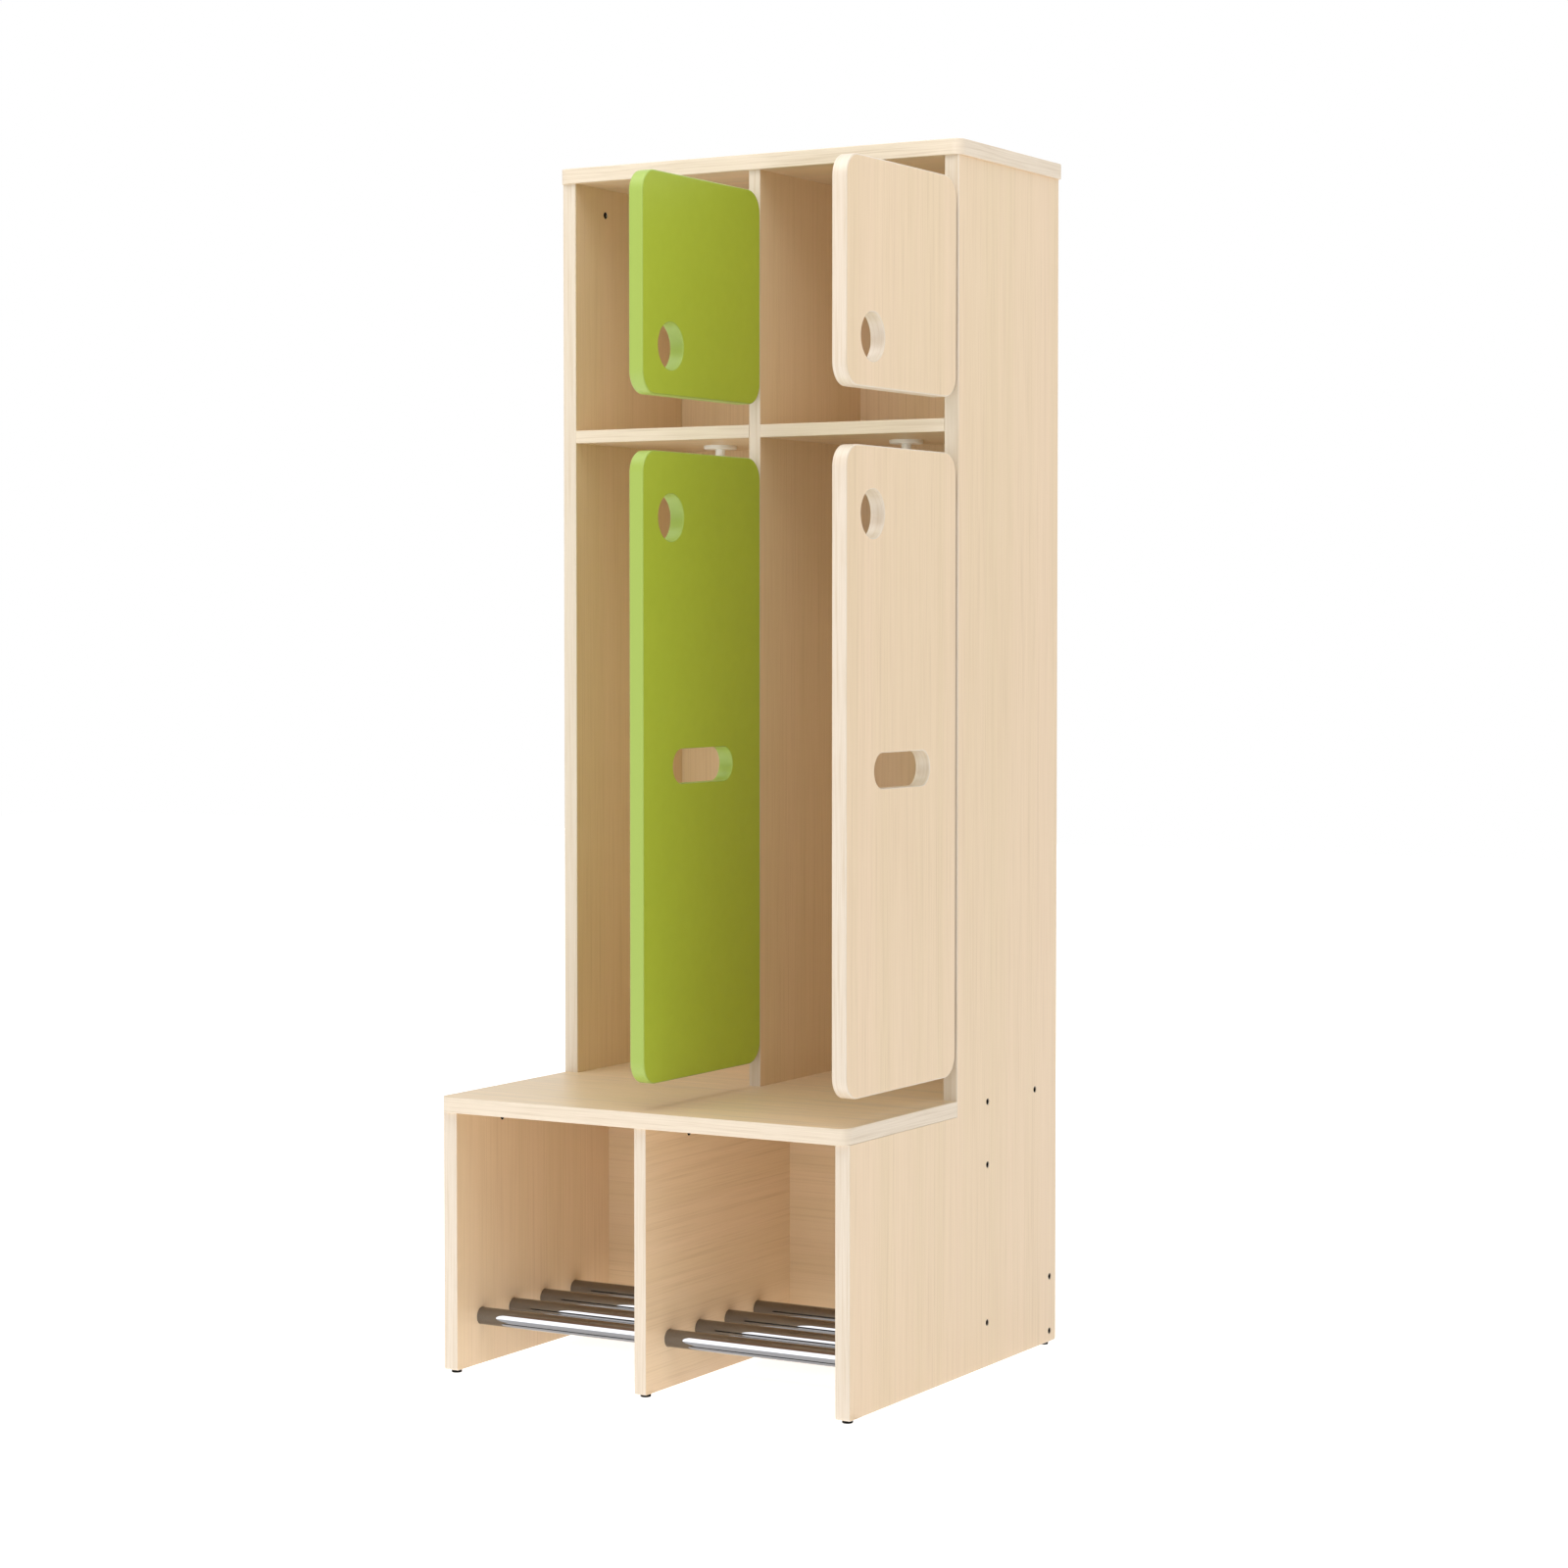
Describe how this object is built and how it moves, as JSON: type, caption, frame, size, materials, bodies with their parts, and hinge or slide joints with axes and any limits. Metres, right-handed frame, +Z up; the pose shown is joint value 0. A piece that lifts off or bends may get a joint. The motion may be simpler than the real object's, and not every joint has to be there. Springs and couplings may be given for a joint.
{
  "type": "cloakroom bench",
  "caption": "Child's cloakroom unit: wardrobe bays with hinged doors above a bench with open shoe bays and chrome shoe bars.",
  "frame": {"origin": "centre of the bounding box at floor level, under the feet", "axes": "+Z up, -Y out of the front where the bench is, +X to the right as seen from the front"},
  "size_m": [0.538, 0.513, 1.3965],
  "materials": {
    "maple_upright": "matt laminate, light maple, upright grain",
    "maple_level": "matt laminate, light maple, grain left to right",
    "maple_lengthwise": "matt laminate, light maple, grain front to back",
    "maple_across": "matt laminate, light maple, grain left to right",
    "maple_back": "printed hardboard, light maple",
    "green_lacquer": "satin green lacquer",
    "chrome_tube": "polished chrome",
    "dark_steel": "blackened steel",
    "zinc_steel": "zinc plated",
    "beech": "raw beech",
    "white_plastic": "moulded white plastic",
    "black_plastic": "moulded black plastic",
    "nickel_steel": "nickel plated steel"
  },
  "bodies": {
    "carcass": {"left_side_panel": "maple_upright", "right_side_panel": "maple_upright", "upper_divider": "maple_upright", "top_board": "maple_level", "bench_board": "maple_level", "left_shelf": "maple_level", "right_shelf": "maple_level", "lower_divider": "maple_lengthwise", "shoe_bay_back_panel": "maple_across", "rear_bottom_rail": "maple_across", "wardrobe_back_panel": "maple_back", "shoe_bar_1": "chrome_tube", "shoe_bar_2": "chrome_tube", "shoe_bar_3": "chrome_tube", "shoe_bar_4": "chrome_tube", "left_side_screws": "dark_steel", "right_side_screws": "dark_steel", "divider_screws": "dark_steel", "barrel_nuts": "dark_steel", "top_joint_bolts": "zinc_steel", "bench_joint_bolts": "zinc_steel", "hook_studs": "zinc_steel", "dowels": "beech", "shelf_through_dowels": "beech", "left_coat_hook": "white_plastic", "right_coat_hook": "white_plastic", "foot_glides": "black_plastic", "upper_left_hinge_arms": "nickel_steel", "upper_left_hinge_plates": "nickel_steel", "upper_left_plate_screws": "nickel_steel", "lower_left_hinge_arms": "nickel_steel", "lower_left_hinge_plates": "nickel_steel", "lower_left_plate_screws": "nickel_steel", "upper_right_hinge_arms": "nickel_steel", "upper_right_hinge_plates": "nickel_steel", "upper_right_plate_screws": "nickel_steel", "lower_right_hinge_arms": "nickel_steel", "lower_right_hinge_plates": "nickel_steel", "lower_right_plate_screws": "nickel_steel"},
    "upper_left_door": {"upper_left_door": "green_lacquer", "upper_left_hinge_cups": "nickel_steel", "upper_left_cup_screws": "nickel_steel"},
    "lower_left_door": {"lower_left_door": "green_lacquer", "lower_left_hinge_cups": "nickel_steel", "lower_left_cup_screws": "nickel_steel"},
    "upper_right_door": {"upper_right_door": "maple_upright", "upper_right_hinge_cups": "nickel_steel", "upper_right_cup_screws": "nickel_steel"},
    "lower_right_door": {"lower_right_door": "maple_upright", "lower_right_hinge_cups": "nickel_steel", "lower_right_cup_screws": "nickel_steel"}
  },
  "joints": [
    {"name": "upper_left_door_hinge", "type": "hinge", "parent": "carcass", "child": "upper_left_door", "pos_m": [0.0005, -0.0118, 1.23], "axis": [0, 0, 1], "range_deg": [-90, 5]},
    {"name": "lower_left_door_hinge", "type": "hinge", "parent": "carcass", "child": "lower_left_door", "pos_m": [0.0005, -0.0118, 0.697], "axis": [0, 0, 1], "range_deg": [-90, 5]},
    {"name": "upper_right_door_hinge", "type": "hinge", "parent": "carcass", "child": "upper_right_door", "pos_m": [0.255, -0.0118, 1.23], "axis": [0, 0, 1], "range_deg": [-90, 5]},
    {"name": "lower_right_door_hinge", "type": "hinge", "parent": "carcass", "child": "lower_right_door", "pos_m": [0.255, -0.0118, 0.697], "axis": [0, 0, 1], "range_deg": [-90, 5]}
  ]
}
